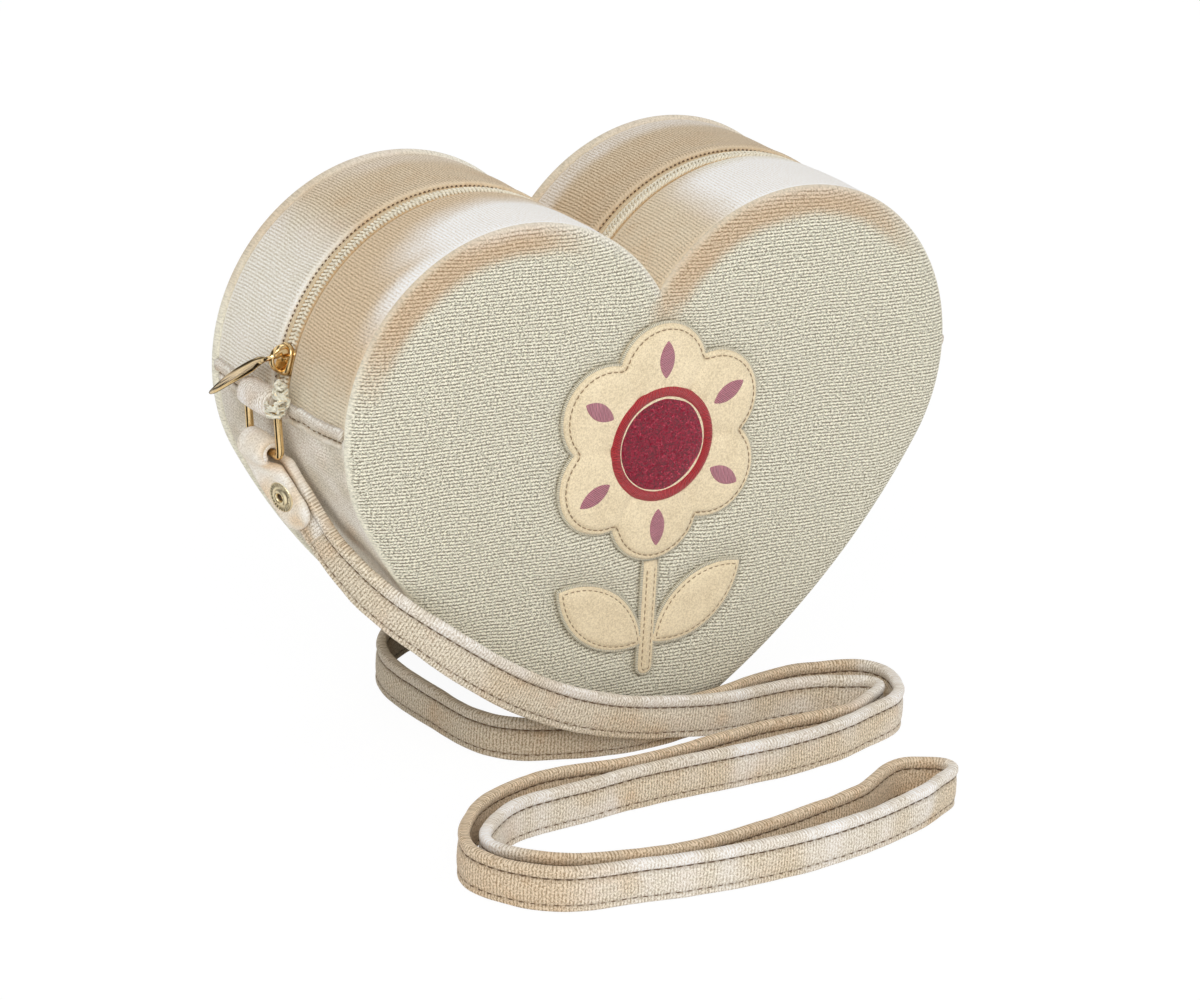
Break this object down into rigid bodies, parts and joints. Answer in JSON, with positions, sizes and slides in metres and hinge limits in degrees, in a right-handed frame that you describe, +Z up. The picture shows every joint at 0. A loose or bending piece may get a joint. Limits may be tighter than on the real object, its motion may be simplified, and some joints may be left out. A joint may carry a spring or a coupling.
{
  "type": "shoulder bag",
  "caption": "Heart-shaped padded shoulder bag with a curved top zip, a wire ring on each side and a flat fabric strap with snap ends.",
  "frame": {"origin": "bottom tip of the heart, midway between the front and the back of the bag, on the surface that the bag stands on", "axes": "+X to the wearer's right as the front is seen, -Y out of the front face, +Z up"},
  "size_m": [0.2084, 0.1818, 0.1511],
  "materials": {
    "velvet": "fine ribbed velvet, warm greyish beige",
    "velvet_gusset": "ribbed velvet, pinkish tan",
    "padding": "white foam padding",
    "lining": "plain woven lining",
    "binding": "woven seam binding",
    "zip_tape": "woven zip tape",
    "zip_coil": "woven nylon coil",
    "gold": "polished gold-coloured metal",
    "suede": "soft cream suede",
    "satin_red": "red satin bead",
    "satin_pink": "pink satin stitch",
    "glitter": "dark red glitter",
    "cord": "cream cord with gold thread",
    "strap_velvet": "ribbed velvet strap, topstitched"
  },
  "bodies": {
    "bag": {"front_panel": "velvet", "back_panel": "velvet", "front_padding": "padding", "back_padding": "padding", "front_lining": "lining", "back_lining": "lining", "top_gusset_front": "velvet_gusset", "top_gusset_rear": "velvet_gusset", "base_gusset": "velvet_gusset", "top_padding_front": "padding", "top_padding_rear": "padding", "base_padding": "padding", "top_lining_front": "lining", "top_lining_rear": "lining", "base_lining": "lining", "front_binding": "binding", "rear_binding": "binding", "gusset_ridge_left": "velvet", "gusset_ridge_right": "velvet", "zip_tape_front": "zip_tape", "zip_tape_rear": "zip_tape", "zip_coil_front": "zip_coil", "zip_coil_rear": "zip_coil", "zip_end_tab_left": "velvet_gusset", "zip_end_tab_right": "velvet_gusset", "zip_stop_left": "gold", "zip_stop_right": "gold", "ring_tab_left": "velvet", "ring_tab_right": "velvet", "flower_padding": "padding", "flower": "suede", "petal_marks": "satin_pink", "flower_middle": "glitter", "flower_bead": "satin_red", "stem_and_leaves": "suede", "strap": "strap_velvet"},
    "slider": {"zip_slider": "gold", "slider_arch": "gold"},
    "pull": {"zip_pull": "gold"},
    "ring_left": {"ring_left": "gold", "knot_cord": "cord", "strap_end_left": "strap_velvet", "snap_stud_left": "gold", "snap_post_left": "gold"},
    "flap_left": {"strap_flap_left": "strap_velvet", "snap_socket_left": "gold", "snap_cap_left": "gold"},
    "ring_right": {"ring_right": "gold", "strap_end_right": "strap_velvet", "snap_stud_right": "gold", "snap_post_right": "gold"},
    "flap_right": {"strap_flap_right": "strap_velvet", "snap_socket_right": "gold", "snap_cap_right": "gold"}
  },
  "joints": [
    {"name": "zip_slide", "type": "hinge", "parent": "bag", "child": "slider", "pos_m": [-0.0435, 0, 0.0995], "axis": [0, 1, 0], "range_deg": [0, 120]},
    {"name": "pull_swing", "type": "hinge", "parent": "slider", "child": "pull", "pos_m": [-0.09785, 0, 0.11145], "axis": [0.2147, 0, 0.9767], "range_deg": [-4, 130]},
    {"name": "ring_left_swing", "type": "hinge", "parent": "bag", "child": "ring_left", "pos_m": [-0.1, 0, 0.1], "axis": [0, 1, 0], "range_deg": [0, 50]},
    {"name": "flap_left_open", "type": "hinge", "parent": "ring_left", "child": "flap_left", "pos_m": [-0.1, 0, 0.087], "axis": [0, 1, 0], "range_deg": [0, 100]},
    {"name": "ring_right_swing", "type": "hinge", "parent": "bag", "child": "ring_right", "pos_m": [0.1, 0, 0.1], "axis": [0, -1, 0], "range_deg": [0, 50]},
    {"name": "flap_right_open", "type": "hinge", "parent": "ring_right", "child": "flap_right", "pos_m": [0.1, 0, 0.087], "axis": [0, -1, 0], "range_deg": [0, 100]}
  ]
}
